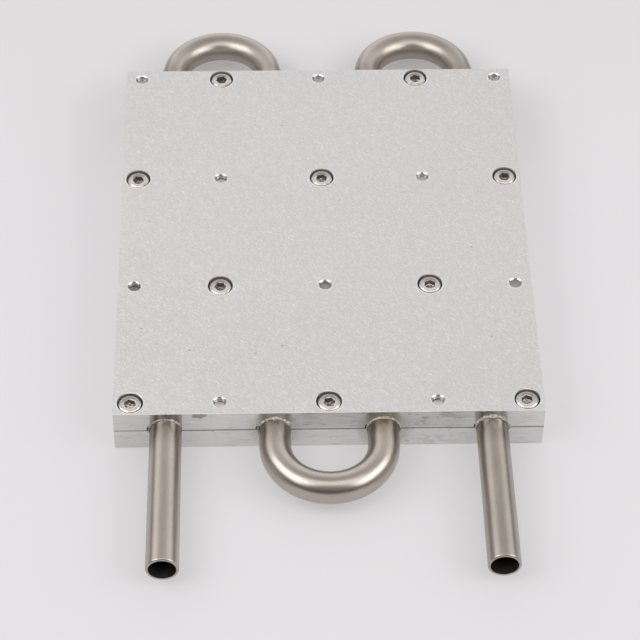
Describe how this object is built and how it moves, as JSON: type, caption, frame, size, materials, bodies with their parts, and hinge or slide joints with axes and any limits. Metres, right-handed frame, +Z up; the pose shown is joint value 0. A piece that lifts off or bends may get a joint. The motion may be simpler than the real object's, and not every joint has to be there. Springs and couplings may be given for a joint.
{
  "type": "water cooling plate",
  "caption": "Bolted pair of flat aluminium plates clamping a serpentine steel tube; coolant runs through the tube and the flat faces draw heat from what is fixed to them.",
  "frame": {"origin": "centre of the lower plate's bottom face, on which the part lies", "axes": "+Z up through the plates to the upper cooling face; -Y towards the two open ends of the tube; +X to the right as seen from those ends"},
  "size_m": [0.158, 0.2839, 0.0185],
  "materials": {
    "plate_aluminium": "fine milled, with short random hairline scratches",
    "tube_steel": "satin drawn stainless steel",
    "screw_steel": "bright stainless steel"
  },
  "bodies": {
    "root": {"upper_plate": "plate_aluminium", "lower_plate": "plate_aluminium", "coolant_tube": "tube_steel", "lower_screw_row_1_column_2": "screw_steel", "lower_screw_row_1_column_4": "screw_steel", "lower_screw_row_2_column_1": "screw_steel", "lower_screw_row_2_column_3": "screw_steel", "lower_screw_row_2_column_5": "screw_steel", "lower_screw_row_3_column_2": "screw_steel", "lower_screw_row_3_column_4": "screw_steel", "lower_screw_row_4_column_1": "screw_steel", "lower_screw_row_4_column_3": "screw_steel", "lower_screw_row_4_column_5": "screw_steel", "upper_screw_row_1_column_1": "screw_steel", "upper_screw_row_1_column_3": "screw_steel", "upper_screw_row_1_column_5": "screw_steel", "upper_screw_row_2_column_2": "screw_steel", "upper_screw_row_2_column_4": "screw_steel", "upper_screw_row_3_column_1": "screw_steel", "upper_screw_row_3_column_3": "screw_steel", "upper_screw_row_3_column_5": "screw_steel", "upper_screw_row_4_column_2": "screw_steel", "upper_screw_row_4_column_4": "screw_steel"}
  },
  "joints": []
}
